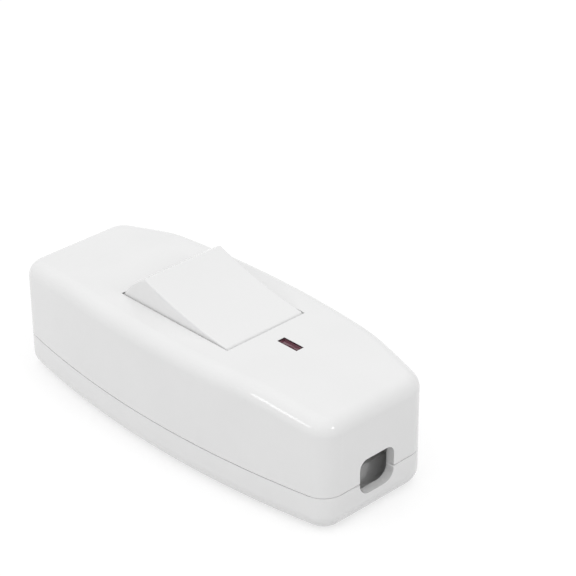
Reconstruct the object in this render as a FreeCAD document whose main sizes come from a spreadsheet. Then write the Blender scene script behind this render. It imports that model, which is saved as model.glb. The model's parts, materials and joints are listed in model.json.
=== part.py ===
import FreeCAD, Part
import math
import os
import re
import Sketcher

# Inline cord switch: a two-pole rocker switch with a pilot lamp, in a boat-shaped two-part case.
# Millimetres and degrees. X runs along the cord, Y across it, Z up from the face that it lies on.
# The origin is the middle of that bottom face. The supply end is at -X, the load end at +X.
# The rocker stands as in the photograph: its load end is pressed, its supply end is raised.

SIZES = {
    # case, outside; its length is what the rocker, the terminals, the clamps and the end walls need
    "end_room": 9.1,
    "end_width": 27.4,
    "mid_width": 37.2,
    "case_height": 27.5,
    "parting_height": 8.35,
    "corner_round": 5.0,
    "top_round": 3.4,
    "bottom_round": 4.0,
    "ramp_margin": 1.4,
    "ramp_blend": 36.8,
    "ramp_angle": 9.4,
    # case, wall and the lap joint between its halves
    "wall": 2.0,
    "rib_root": 0.8,
    "lip_height": 1.2,
    "lip_thickness": 0.9,
    "lip_gap": 0.1,
    "seam_gap": 0.18,
    "seam_depth": 0.6,
    "seam_chamfer": 0.05,
    # rocker and its well
    "pivot_x": -0.75,
    "pivot_z": 16.7,
    "rocker_tilt": 13.8,
    "rocker_radius": 18.95,
    "rocker_reach": 12.4,
    "rocker_width": 20.6,
    "rocker_dish": 0.75,
    "rocker_wall": 1.8,
    "rocker_end_round": 0.6,
    "rocker_edge": 0.35,
    "skirt_angle": 14.0,
    "skirt_foot": 2.7,
    "well_gap": 0.35,
    "side_gap": 0.25,
    "boss_radius": 3.2,
    "boss_play": 0.12,
    "trunnion_radius": 2.0,
    "trunnion_gap": 0.06,
    "trunnion_bite": 2.0,
    "lug_half_length": 4.2,
    "lug_thickness": 2.2,
    # plungers that the rocker carries
    "pole_offset": 6.2,
    "sleeve_radius": 2.2,
    "sleeve_drop": 3.0,
    "sleeve_root": 0.45,
    "sleeve_bore": 1.5,
    "sleeve_depth": 12.4,
    "plunger_gap": 0.05,
    "plunger_top": 0.5,
    "plunger_shoulder": 5.4,
    "plunger_neck": 6.9,
    "plunger_nose": 0.8,
    "nose_gap": 0.1,
    "spring_wire": 0.18,
    "spring_radius": 1.1,
    "spring_turns": 7.0,
    # contact blades
    "blade_pivot_z": 8.1,
    "blade_tilt": 8.0,
    "blade_rise": 10.0,
    "blade_length": 8.8,
    "blade_thickness": 0.8,
    "blade_width": 3.0,
    "neck_width": 2.1,
    "neck_length": 2.4,
    "axle_radius": 0.4,
    "axle_gap": 0.05,
    "contact_reach": 7.7,
    "contact_radius": 1.2,
    "contact_height": 0.5,
    "contact_shank": 0.6,
    "contact_tail": 0.9,
    "tail_height": 0.25,
    "contact_gap": 0.08,
    # strips and screw terminals
    "strip_bottom": 5.6,
    "strip_thickness": 0.8,
    "strip_width": 3.6,
    "ear_thickness": 0.5,
    "ear_half_length": 1.6,
    "ear_height": 0.7,
    "terminal_shift": 1.45,
    "terminal_length": 6.0,
    "terminal_width": 5.4,
    "earth_width": 4.2,
    "terminal_height": 7.0,
    "wire_bore": 1.5,
    "wire_height": 2.6,
    "terminal_screw": 1.45,
    "screw_gap": 0.04,
    "screw_lift": 0.25,
    "terminal_head": 2.1,
    "terminal_head_height": 1.6,
    "slot_width": 0.7,
    "slot_depth": 0.8,
    # ribs and rails moulded on the floor
    "rail_width": 2.4,
    "barrier_width": 0.7,
    "barrier_height": 12.0,
    "barrier_overhang": 0.9,
    "cheek_height": 10.0,
    "fit_gap": 0.15,
    # pilot lamp and its window
    "window_margin": 0.75,
    "window_length": 5.5,
    "window_width": 2.0,
    "lens_gap": 0.05,
    "lens_sink": 0.04,
    "lens_rim": 0.12,
    "lens_dish": 0.42,
    "flange_length": 8.0,
    "flange_width": 4.4,
    "flange_height": 1.0,
    "lamp_radius": 2.0,
    "lamp_length": 10.0,
    "lamp_gap": 0.3,
    "cradle_offset": 3.3,
    "cradle_width": 1.0,
    "cradle_length": 5.6,
    "lead_radius": 0.3,
    "lead_bend": 0.9,
    "lead_stand_off": 0.8,
    "lead_entry": 1.8,
    "resistor_radius": 0.95,
    "resistor_round": 0.45,
    "resistor_length": 3.6,
    # cord entries and clamps
    "entry_width": 9.4,
    "entry_bottom": 5.2,
    "entry_top": 13.25,
    "entry_upper_round": 2.0,
    "entry_lower_round": 2.7,
    "clamp_pitch": 6.1,
    "clamp_post_y": 10.2,
    "clamp_post_radius": 2.4,
    "clamp_post_top": 10.2,
    "saddle_shift": 2.0,
    "saddle_length": 1.2,
    "saddle_width": 21.0,
    "saddle_top": 5.7,
    "clamp_length": 4.4,
    "clamp_width": 25.0,
    "clamp_thickness": 2.2,
    "clamp_arch": 7.8,
    "clamp_arch_top": 12.5,
    # screws that hold the clamps and close the case
    "case_screw_pitch": 7.3,
    "case_screw_y": 9.4,
    "case_boss_radius": 4.0,
    "upper_boss_radius": 2.9,
    "counterbore_radius": 2.85,
    "counterbore_depth": 4.4,
    "screw_radius": 1.45,
    "screw_tip": 0.7,
    "head_radius": 2.5,
    "head_height": 1.9,
    "recess_length": 2.8,
    "case_screw_length": 13.0,
    "clamp_screw_length": 8.0,
    "hole_spare": 1.0,
}

ENDS = (("supply", -1), ("load", 1))
POLES = (("neutral", -1), ("live", 1))

# Two lengths closer than this count as the same when edges are picked
NEAR = 0.01

# Places along the cord, each measured from the one before, written as formulas
WELL_RADIUS = "(rocker_radius + well_gap)"
WINDOW_X = f"(pivot_x + {WELL_RADIUS} + window_margin + window_length / 2)"
TERMINAL_X = f"({WINDOW_X} + terminal_shift)"
CASE_SCREW_X = f"({TERMINAL_X} + case_screw_pitch)"
CLAMP_X = f"({CASE_SCREW_X} + clamp_pitch)"
HALF_LENGTH = f"({CLAMP_X} + end_room)"
RAMP_START = f"({WINDOW_X} + window_length / 2 + ramp_margin)"
BLEND_END = f"({RAMP_START} + ramp_blend * sin(ramp_angle))"

# Other lengths worked out from the sizes
SIDE_RADIUS = f"(({HALF_LENGTH}^2 + ((mid_width - end_width) / 2)^2) / (mid_width - end_width))"
WELL_HALF_WIDTH = "(rocker_width / 2 + side_gap)"
CEILING = "(case_height - wall)"
FLOOR_ROOT = "(wall - rib_root)"
CEILING_ROOT = "(case_height - wall + rib_root)"
ROCKER_HEIGHT = "sqrt(rocker_radius^2 - rocker_reach^2)"
STRIP_TOP = "(strip_bottom + strip_thickness)"
TERMINAL_TOP = "(strip_bottom + strip_thickness + terminal_height)"
WIRE_AXIS = "(strip_bottom + strip_thickness + wire_height)"
LEAD_HEIGHT = f"({TERMINAL_TOP} - lead_entry)"
LAMP_AXIS = "(case_height - wall - flange_height - lamp_gap - lamp_radius)"
ARM_ANGLE = "(blade_tilt + blade_rise)"
SHUT_ANGLE = "(blade_rise - blade_tilt)"
BORE_RADIUS = "(screw_radius + screw_gap)"

doc = FreeCAD.newDocument("inline_cord_switch")
sheet = doc.addObject("Spreadsheet::Sheet", "Sizes")
for row, (size_name, size_value) in enumerate(SIZES.items(), 1):
    sheet.set(f"A{row}", size_name)
    sheet.set(f"B{row}", str(size_value))
    sheet.setAlias(f"B{row}", size_name)
doc.recompute()

sub_parts = []


def formula(text):
    """Point each size named in a formula at its cell."""

    def cell(word):
        return "Sizes." + word.group() if word.group() in SIZES else word.group()

    return re.sub(r"[a-z]\w*", cell, text)


def value(text):
    return float(sheet.evalExpression(formula(text)))


def bind(thing, **formulas):
    for name, text in formulas.items():
        thing.setExpression(name, formula(text))


def tip(thing, axis, degrees):
    """Turn a piece about an axis through the origin, before it is moved to its place."""
    turned = FreeCAD.Rotation(FreeCAD.Vector(*axis), degrees)
    thing.Placement = FreeCAD.Placement(FreeCAD.Vector(), turned)


def place(thing, x="0", y="0", z="0", turn=None):
    """Move a piece, and tip it about Y so that its +X end goes down."""
    if turn:
        # Any small angle sets the axis, because the formula then replaces the angle
        tip(thing, (0, 1, 0), 1)
        thing.setExpression("Placement.Rotation.Angle", formula(turn))
    for axis, text in (("x", x), ("y", y), ("z", z)):
        thing.setExpression("Placement.Base." + axis, formula(text))
    return thing


def sub_part(label, thing):
    thing.Label = label
    sub_parts.append(thing)
    return thing


# Primitives and booleans

def block(name, x, y, length, width, low, high):
    """A box centred on x and y, between two heights."""
    box = doc.addObject("Part::Box", name)
    bind(box, Length=length, Width=width, Height=f"({high}) - ({low})")
    return place(box, f"({x}) - ({length}) / 2", f"({y}) - ({width}) / 2", low)


def post(name, radius, x, y, low, high):
    """An upright cylinder between two heights."""
    cylinder = doc.addObject("Part::Cylinder", name)
    bind(cylinder, Radius=radius, Height=f"({high}) - ({low})")
    return place(cylinder, x, y, low)


def lying_rod(name, radius, along, x, y, z, length):
    """A cylinder centred on a point, lying along X or Y."""
    cylinder = doc.addObject("Part::Cylinder", name)
    bind(cylinder, Radius=radius, Height=length)
    if along == "X":
        tip(cylinder, (0, 1, 0), 90)
        return place(cylinder, f"({x}) - ({length}) / 2", y, z)
    tip(cylinder, (1, 0, 0), 90)
    return place(cylinder, x, f"({y}) + ({length}) / 2", z)


def join(name, pieces):
    union = doc.addObject("Part::MultiFuse", name)
    union.Shapes = pieces
    union.Refine = True
    return union


def cut(name, base, tools):
    result = doc.addObject("Part::Cut", name)
    result.Base = base
    result.Tool = tools[0] if len(tools) == 1 else join(name + "_tools", tools)
    result.Refine = True
    return result


# Sketches and the features made from them

def new_sketch(body, name, role, offset="0"):
    """A sketch on one of the body's own planes: XY_Plane, XZ_Plane or YZ_Plane."""
    sketch = body.newObject("Sketcher::SketchObject", name)
    plane = next(feature for feature in body.Origin.OriginFeatures if feature.Role == role)
    sketch.AttachmentSupport = [(plane, "")]
    sketch.MapMode = "FlatFace"
    sketch.setExpression("AttachmentOffset.Base.z", formula(offset))
    return sketch


def fix(sketch, kind, geometry, end, text):
    """Hold one coordinate of a point at a formula's value, measured from the sketch's origin."""
    number = sketch.addConstraint(Sketcher.Constraint(kind, -1, 1, geometry, end, value(text)))
    sketch.setExpression(f"Constraints[{number}]", formula(text))


def arc_middle(start, end, radius, side):
    """The middle of the shorter arc between two points; side is 1 where its centre lies to the left."""
    chord = end - start
    half = (start + end) * 0.5
    left = FreeCAD.Vector(-chord.y, chord.x, 0).normalize() * side
    centre = half + left * math.sqrt(max(radius ** 2 - (chord.Length / 2) ** 2, 0.0))
    return centre - left * radius


def trace(sketch, corners, arcs=None, closed=True):
    """Draw straight edges and arcs through corners; arcs gives (radius, side) by the edge's number."""
    arcs = arcs or {}
    points = [FreeCAD.Vector(value(across), value(up), 0) for across, up in corners]
    first = sketch.GeometryCount
    edges = len(points) if closed else len(points) - 1
    for number in range(edges):
        start = points[number]
        end = points[(number + 1) % len(points)]
        if number in arcs:
            radius, side = arcs[number]
            sketch.addGeometry(Part.Arc(start, arc_middle(start, end, value(radius), side), end), False)
            constraint = sketch.addConstraint(Sketcher.Constraint("Radius", first + number, value(radius)))
            sketch.setExpression(f"Constraints[{constraint}]", formula(radius))
        else:
            sketch.addGeometry(Part.LineSegment(start, end), False)

    def end_at(number, point):
        near = (sketch.getPoint(first + number, 1) - point).Length
        return 1 if near < (sketch.getPoint(first + number, 2) - point).Length else 2

    for number, (across, up) in enumerate(corners):
        edge = min(number, edges - 1)
        end = end_at(edge, points[number])
        if closed or 0 < number < edges:
            before = (number - 1) % edges
            met = end_at(before, points[number])
            sketch.addConstraint(Sketcher.Constraint("Coincident", first + before, met, first + edge, end))
        fix(sketch, "DistanceX", first + edge, end, across)
        fix(sketch, "DistanceY", first + edge, end, up)


def draw_circle(sketch, across, up, radius):
    centre = FreeCAD.Vector(value(across), value(up), 0)
    number = sketch.addGeometry(Part.Circle(centre, FreeCAD.Vector(0, 0, 1), value(radius)), False)
    fix(sketch, "DistanceX", number, 3, across)
    fix(sketch, "DistanceY", number, 3, up)
    constraint = sketch.addConstraint(Sketcher.Constraint("Radius", number, value(radius)))
    sketch.setExpression(f"Constraints[{constraint}]", formula(radius))


def new_body(name):
    return doc.addObject("PartDesign::Body", name)


def extrude(body, kind, sketch, length, both=False, back=False):
    """Pad or pocket a sketch; both spreads the length to both sides of its plane."""
    feature = body.newObject("PartDesign::" + kind, sketch.Name + "_" + kind.lower())
    feature.Profile = sketch
    bind(feature, Length=length)
    if both:
        feature.SideType = "Symmetric"
    feature.Reversed = back
    return feature


def dress(body, kind, radius, chosen):
    """Fillet or chamfer the edges of the body for which chosen is true."""
    doc.recompute()
    base = body.Tip
    names = [f"Edge{number}" for number, edge in enumerate(base.Shape.Edges, 1) if chosen(edge)]
    feature = body.newObject("PartDesign::" + kind, f"{body.Name}_{kind.lower()}_{len(body.Group)}")
    feature.Base = (base, names)
    bind(feature, **{"Size" if kind == "Chamfer" else "Radius": radius})
    return feature


def revolve(name, corners, arcs=None):
    """A turned piece about its own Z axis, from its half section as (radius, height) corners."""
    body = new_body(name)
    sketch = new_sketch(body, name + "_section", "XZ_Plane")
    trace(sketch, corners, arcs)
    feature = body.newObject("PartDesign::Revolution", name + "_turned")
    feature.Profile = sketch
    feature.ReferenceAxis = (sketch, ["V_Axis"])
    feature.Angle = 360
    return body


def middle(edge):
    return edge.valueAt((edge.FirstParameter + edge.LastParameter) / 2)


def upright(edge):
    return edge.BoundBox.XLength + edge.BoundBox.YLength < NEAR


# Case: both halves share one plan with bowed sides, at different distances inside the outline

def plan_body(name, inset, low, high):
    """A slab of the case's plan shape, drawn in by inset, between two heights."""
    body = new_body(name)
    sketch = new_sketch(body, name + "_plan", "XY_Plane", low)
    half_length = f"({HALF_LENGTH} - ({inset}))"
    radius = f"({SIDE_RADIUS} - ({inset}))"
    half_width = f"(sqrt({radius}^2 - {half_length}^2) - {SIDE_RADIUS} + mid_width / 2)"
    corners = [
        (f"-{half_length}", f"-{half_width}"),
        (half_length, f"-{half_width}"),
        (half_length, half_width),
        (f"-{half_length}", half_width),
    ]
    trace(sketch, corners, {0: (radius, 1), 2: (radius, 1)})
    extrude(body, "Pad", sketch, f"({high}) - ({low})")
    dress(body, "Fillet", f"corner_round - ({inset})", upright)
    return body


def cut_ramps(body, name, depth):
    """Let the top fall away towards both ends: level, then a tangent arc, then a straight ramp."""
    top = f"(case_height - ({depth}))"
    far = f"({HALF_LENGTH} + hole_spare)"
    blend_low = f"({top} - ramp_blend * (1 - cos(ramp_angle)))"
    ramp_low = f"({blend_low} - ({far} - {BLEND_END}) * tan(ramp_angle))"
    sketch = new_sketch(body, name, "XZ_Plane")
    for sign, side in (("", -1), ("-", 1)):
        corners = [
            (f"{sign}{RAMP_START}", top),
            (f"{sign}{BLEND_END}", blend_low),
            (f"{sign}{far}", ramp_low),
            (f"{sign}{far}", f"{top} + hole_spare"),
            (f"{sign}{RAMP_START}", f"{top} + hole_spare"),
        ]
        trace(sketch, corners, {0: ("ramp_blend", side)})
    extrude(body, "Pocket", sketch, "mid_width + 2 * hole_spare", both=True)


def on_top_rim(edge):
    """True for the edges where the top meets the walls, and not for the lines across the top."""
    spot = middle(edge)
    across_top = edge.BoundBox.XLength < NEAR and abs(spot.x) < value(BLEND_END) + NEAR
    above = spot.z > value("(case_height + parting_height) / 2")
    return above and not across_top and not upright(edge)


def at_height(height):
    return lambda edge: edge.BoundBox.ZLength < NEAR and abs(edge.BoundBox.ZMin - height) < NEAR


upper_outer = plan_body("upper_outer", "0", "parting_height", "case_height")
cut_ramps(upper_outer, "upper_ramps", "0")
dress(upper_outer, "Fillet", "top_round", on_top_rim)
dress(upper_outer, "Chamfer", "seam_chamfer", at_height(value("parting_height")))

upper_hollow = plan_body("upper_hollow", "wall", "parting_height - hole_spare", CEILING)
cut_ramps(upper_hollow, "hollow_ramps", "wall")
dress(upper_hollow, "Fillet", "top_round - wall", on_top_rim)

# The lower half's rim stands a little low, which leaves a thin dark line all round the case
lower_outer = plan_body("lower_outer", "0", "0", "parting_height - seam_gap")
dress(lower_outer, "Fillet", "bottom_round", at_height(0.0))
dress(lower_outer, "Chamfer", "seam_chamfer", at_height(value("parting_height - seam_gap")))
seam_seat = plan_body("seam_seat", "seam_depth", "parting_height - lip_height", "parting_height")

lip_top = "(parting_height + lip_height)"
lip_slab = plan_body("lip_slab", "wall - lip_thickness", "parting_height - lip_height", lip_top)
lower_hollow = plan_body("lower_hollow", "wall", "wall", f"{lip_top} + hole_spare")
dress(lower_hollow, "Fillet", "bottom_round - wall", at_height(value("wall")))
rebate_room = plan_body(
    "rebate_room", "wall - lip_thickness - lip_gap", "parting_height - hole_spare", f"{lip_top} + lip_gap"
)
# The end walls stay whole beside the cord entries, so that no step shows in an opening
whole_walls = []
for end, x_sign in ENDS:
    whole_walls.append(block(f"{end}_whole_wall", f"{x_sign} * {HALF_LENGTH}", "0", "2 * wall",
                             "entry_width + 2 * lip_thickness - 2 * lip_gap", "parting_height - hole_spare",
                             f"{lip_top} + lip_gap"))
rebate = cut("rebate", rebate_room, whole_walls)

# The cord entry is one rounded opening that both halves share, in each end wall

entry_body = new_body("entry_bar")
entry_sketch = new_sketch(entry_body, "entry_outline", "YZ_Plane")
entry_half = "(entry_width / 2)"
entry_corners = [
    (f"-{entry_half} + entry_lower_round", "entry_bottom"),
    (f"{entry_half} - entry_lower_round", "entry_bottom"),
    (entry_half, "entry_bottom + entry_lower_round"),
    (entry_half, "entry_top - entry_upper_round"),
    (f"{entry_half} - entry_upper_round", "entry_top"),
    (f"-{entry_half} + entry_upper_round", "entry_top"),
    (f"-{entry_half}", "entry_top - entry_upper_round"),
    (f"-{entry_half}", "entry_bottom + entry_lower_round"),
]
trace(entry_sketch, entry_corners, {
    1: ("entry_lower_round", 1),
    3: ("entry_upper_round", 1),
    5: ("entry_upper_round", 1),
    7: ("entry_lower_round", 1),
})
extrude(entry_body, "Pad", entry_sketch, f"2 * ({HALF_LENGTH} + hole_spare)", both=True)
entry_middle = block("entry_middle", "0", "0", f"2 * ({HALF_LENGTH} - wall - hole_spare)", "2 * entry_width",
                     "0", "case_height")
entries = cut("entries", entry_body, [entry_middle])

# Upper housing: shell, bearing lugs for the rocker, screw bosses and the lamp's cradle

lugs = []
lug_bores = []
for pole, y_sign in POLES:
    lug_y = f"{y_sign} * ({WELL_HALF_WIDTH} + lug_thickness / 2)"
    lugs.append(block(f"{pole}_lug", "pivot_x", lug_y, "2 * lug_half_length", "lug_thickness", "pivot_z",
                      CEILING_ROOT))
    lugs.append(lying_rod(f"{pole}_lug_end", "lug_half_length", "Y", "pivot_x", lug_y, "pivot_z",
                          "lug_thickness"))
    lug_bores.append(lying_rod(f"{pole}_lug_bore", "trunnion_radius + trunnion_gap", "Y", "pivot_x", lug_y,
                               "pivot_z", "lug_thickness + 2 * hole_spare"))

upper_bosses = []
pilot_bores = []
for end, x_sign in ENDS:
    for pole, y_sign in POLES:
        boss_x = f"{x_sign} * {CASE_SCREW_X}"
        boss_y = f"{y_sign} * case_screw_y"
        upper_bosses.append(post(f"{end}_{pole}_upper_boss", "upper_boss_radius", boss_x, boss_y,
                                 "parting_height", CEILING_ROOT))
        pilot_bores.append(post(f"{end}_{pole}_pilot", BORE_RADIUS, boss_x, boss_y,
                                "parting_height - hole_spare",
                                "counterbore_depth + case_screw_length + hole_spare"))

cradles = []
for pole, y_sign in POLES:
    cradles.append(block(f"{pole}_cradle", WINDOW_X, f"{y_sign} * cradle_offset", "cradle_length",
                         "cradle_width", f"{LAMP_AXIS} - lamp_radius / 2", CEILING_ROOT))
lamp_seat = lying_rod("lamp_seat", "lamp_radius + lens_gap", "Y", WINDOW_X, "0", LAMP_AXIS, "lamp_length")
flange_seat = block("flange_seat", WINDOW_X, "0", "flange_length + 2 * lens_gap", "flange_width",
                    f"{CEILING} - flange_height - lens_gap", CEILING)
window = block("window", WINDOW_X, "0", "window_length", "window_width", LAMP_AXIS,
               "case_height + hole_spare")

well_round = lying_rod("well_round", WELL_RADIUS, "Y", "pivot_x", "0", "pivot_z", f"2 * {WELL_HALF_WIDTH}")
well_slab = block("well_slab", "pivot_x", "0", f"3 * {WELL_RADIUS}", "mid_width",
                  f"{CEILING} - flange_height - hole_spare", "case_height + hole_spare")
well = doc.addObject("Part::Common", "well")
well.Base = well_round
well.Tool = well_slab

upper_shell = cut("upper_shell", upper_outer, [upper_hollow, rebate])
upper_solid = join("upper_solid", [upper_shell] + lugs + upper_bosses + cradles)
sub_part("upper_housing", cut("upper_cut", upper_solid, lug_bores + pilot_bores + [
    lamp_seat, flange_seat, window, well, entries]))

# Lower housing: tray with a lip, rails for the strips, ribs between the poles, clamp posts, screw bosses

rails = []
cheeks = []
ends_of_line = (f"-{TERMINAL_X} - terminal_length / 2", "pivot_x + ear_half_length")
ends_of_load = (
    f"pivot_x + contact_reach * cos{SHUT_ANGLE} - contact_radius - strip_thickness",
    f"{TERMINAL_X} + terminal_length / 2",
)


def span(name, ends, y, width, low, high):
    """A box between two places along X."""
    start, stop = ends
    return block(name, f"(({start}) + ({stop})) / 2", y, f"({stop}) - ({start})", width, low, high)


for pole, y_sign in POLES:
    pole_y = f"{y_sign} * pole_offset"
    rails.append(span(f"{pole}_line_rail", ends_of_line, pole_y, "rail_width", FLOOR_ROOT, "strip_bottom"))
    rails.append(span(f"{pole}_load_rail", ends_of_load, pole_y, "rail_width", FLOOR_ROOT, "strip_bottom"))
    barrier_y = f"{y_sign} * (earth_width / 2 + fit_gap + barrier_width / 2)"
    barrier_length = f"2 * ({TERMINAL_X} + terminal_length / 2 + barrier_overhang)"
    rails.append(block(f"{pole}_barrier", "0", barrier_y, barrier_length, "barrier_width", FLOOR_ROOT,
                       "barrier_height"))
    for end, x_sign in ENDS:
        cheek_y = f"{y_sign} * (pole_offset + terminal_width / 2 + fit_gap + barrier_width / 2)"
        cheeks.append(block(f"{end}_{pole}_cheek", f"{x_sign} * {TERMINAL_X}", cheek_y, "terminal_length",
                            "barrier_width", FLOOR_ROOT, "cheek_height"))
earth_ends = (f"-{TERMINAL_X} - terminal_length / 2", f"{TERMINAL_X} + terminal_length / 2")
rails.append(span("earth_rail", earth_ends, "0", "rail_width", FLOOR_ROOT, "strip_bottom"))

clamp_seats = []
clamp_bores = []
lower_bosses = []
case_bores = []
for end, x_sign in ENDS:
    clamp_seats.append(block(f"{end}_saddle", f"{x_sign} * ({CLAMP_X} + saddle_shift)", "0", "saddle_length",
                             "saddle_width", FLOOR_ROOT, "saddle_top"))
    for pole, y_sign in POLES:
        post_x = f"{x_sign} * {CLAMP_X}"
        post_y = f"{y_sign} * clamp_post_y"
        clamp_seats.append(post(f"{end}_{pole}_clamp_post", "clamp_post_radius", post_x, post_y, FLOOR_ROOT,
                                "clamp_post_top"))
        clamp_bores.append(post(f"{end}_{pole}_clamp_bore", BORE_RADIUS, post_x, post_y,
                                "clamp_post_top + clamp_thickness - clamp_screw_length - fit_gap",
                                "clamp_post_top + hole_spare"))
        boss_x = f"{x_sign} * {CASE_SCREW_X}"
        boss_y = f"{y_sign} * case_screw_y"
        lower_bosses.append(post(f"{end}_{pole}_lower_boss", "case_boss_radius", boss_x, boss_y, FLOOR_ROOT,
                                 "parting_height"))
        case_bores.append(post(f"{end}_{pole}_counterbore", "counterbore_radius", boss_x, boss_y,
                               "-hole_spare", "counterbore_depth"))
        case_bores.append(post(f"{end}_{pole}_case_bore", BORE_RADIUS, boss_x, boss_y, "0",
                               "parting_height + hole_spare"))

lip_notches = []
for end, x_sign in ENDS:
    notch_x = f"{x_sign} * ({HALF_LENGTH} - wall + lip_thickness / 2)"
    lip_notches.append(block(f"{end}_lip_notch", notch_x, "0", "2 * lip_thickness",
                             "entry_width + 2 * lip_thickness", "parting_height", f"{lip_top} + hole_spare"))

lower_blank = join("lower_blank", [lower_outer, seam_seat, lip_slab])
lower_shell = cut("lower_shell", lower_blank, [lower_hollow])
lower_solid = join("lower_solid", [lower_shell] + rails + cheeks + clamp_seats + lower_bosses)
sub_part("lower_housing", cut("lower_cut", lower_solid, clamp_bores + case_bores + lip_notches + [entries]))

# Rocker: a dished cap with round ends, open below, with two trunnions and a sleeve for each plunger

rocker = new_body("rocker_body")
rocker_side = new_sketch(rocker, "rocker_side", "XZ_Plane")
dish_radius = "((rocker_reach^2 + rocker_dish^2) / (2 * rocker_dish))"
skirt_x = "(rocker_radius * cos(skirt_angle))"
skirt_z = "(rocker_radius * sin(skirt_angle))"
trace(rocker_side, [
    ("-rocker_reach", ROCKER_HEIGHT),
    ("rocker_reach", ROCKER_HEIGHT),
    (skirt_x, skirt_z),
    ("boss_radius", "-skirt_foot"),
    ("-boss_radius", "-skirt_foot"),
    (f"-{skirt_x}", skirt_z),
], {0: (dish_radius, 1), 1: ("rocker_radius", -1), 5: ("rocker_radius", -1)})
extrude(rocker, "Pad", rocker_side, "rocker_width", both=True)


def on_end_rim(edge):
    """True for the two rims where the rocker's top meets its round ends."""
    return edge.BoundBox.XLength < NEAR and middle(edge).z > value(ROCKER_HEIGHT) - NEAR


def on_side_rim(edge):
    """True for the rims at the rocker's sides, over its top and down its round ends."""
    spot = middle(edge)
    at_side = abs(abs(spot.y) - value("rocker_width / 2")) < NEAR
    round_end = abs(math.hypot(spot.x, spot.z) - value("rocker_radius")) < NEAR
    over_top = spot.z > value(f"{ROCKER_HEIGHT} - rocker_dish") - NEAR
    return at_side and (over_top or (round_end and spot.z > value(skirt_z) + NEAR))


dress(rocker, "Fillet", "rocker_end_round", on_end_rim)
dress(rocker, "Fillet", "rocker_edge", on_side_rim)
for feature_name, radius_text, width_text in (
    ("rocker_boss", "boss_radius", f"2 * ({WELL_HALF_WIDTH} - boss_play)"),
    ("trunnion", "trunnion_radius", f"2 * ({WELL_HALF_WIDTH} + trunnion_bite)"),
):
    round_sketch = new_sketch(rocker, feature_name, "XZ_Plane")
    draw_circle(round_sketch, "0", "0", radius_text)
    extrude(rocker, "Pad", round_sketch, width_text, both=True)
rocker_hollow = new_sketch(rocker, "rocker_hollow", "XZ_Plane")
inner_radius = "(rocker_radius - rocker_wall)"
inner_top = f"({ROCKER_HEIGHT} - rocker_dish - rocker_wall)"
inner_reach = f"sqrt({inner_radius}^2 - {inner_top}^2)"
hollow_low = "(-boss_radius - hole_spare)"
trace(rocker_hollow, [
    (f"-{inner_reach}", inner_top),
    (inner_reach, inner_top),
    (inner_radius, "0"),
    (inner_radius, hollow_low),
    (f"-{inner_radius}", hollow_low),
    (f"-{inner_radius}", "0"),
], {1: (inner_radius, -1), 5: (inner_radius, -1)})
extrude(rocker, "Pocket", rocker_hollow, "rocker_width - 2 * rocker_wall", both=True)
sleeves = new_sketch(rocker, "sleeves", "XY_Plane", "-sleeve_drop")
bores = new_sketch(rocker, "sleeve_bores", "XY_Plane", "-sleeve_drop")
for pole, y_sign in POLES:
    draw_circle(sleeves, "0", f"{y_sign} * pole_offset", "sleeve_radius")
    draw_circle(bores, "0", f"{y_sign} * pole_offset", "sleeve_bore + plunger_gap")
extrude(rocker, "Pad", sleeves, f"sleeve_drop + {inner_top} + sleeve_root")
extrude(rocker, "Pocket", bores, "sleeve_depth", back=True)
place(rocker, "pivot_x", "0", "pivot_z", "rocker_tilt")
sub_part("rocker", rocker)

# Plungers and their springs, in the rocker's sleeves

# The nose touches the blade at mid swing, when both stand level
nose_low = "(pivot_z - blade_pivot_z - blade_thickness / (2 * cos(blade_rise)) - nose_gap)"
spring_low = "plunger_top"
spring_high = "(sleeve_depth - sleeve_drop)"
for pole, y_sign in POLES:
    pole_y = f"{y_sign} * pole_offset"
    plunger = revolve(f"{pole}_plunger_body", [
        ("0", f"-{nose_low}"),
        ("plunger_nose", f"-{nose_low} + plunger_nose"),
        ("plunger_nose", "-plunger_neck"),
        ("sleeve_bore", "-plunger_shoulder"),
        ("sleeve_bore", "plunger_top"),
        ("0", "plunger_top"),
    ], {0: ("plunger_nose", 1)})
    place(plunger, "pivot_x", pole_y, "pivot_z", "rocker_tilt")
    sub_part(f"{pole}_plunger", plunger)
    coil = new_body(f"{pole}_coil")
    wire_section = new_sketch(coil, f"{pole}_wire_section", "XZ_Plane")
    draw_circle(wire_section, "spring_radius", f"{spring_low} + spring_wire + plunger_gap", "spring_wire")
    helix = coil.newObject("PartDesign::AdditiveHelix", f"{pole}_helix")
    helix.Profile = wire_section
    helix.ReferenceAxis = (wire_section, ["V_Axis"])
    helix.Mode = "height-turns-angle"
    rise = f"{spring_high} - {spring_low} - 2 * (spring_wire + plunger_gap)"
    bind(helix, Height=rise, Turns="spring_turns")
    place(coil, "pivot_x", pole_y, "pivot_z", "rocker_tilt")
    sub_part(f"{pole}_plunger_spring", coil)

# Contact blades: shallow V strips that rock on the line terminals' ears, with a silver contact each

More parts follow.
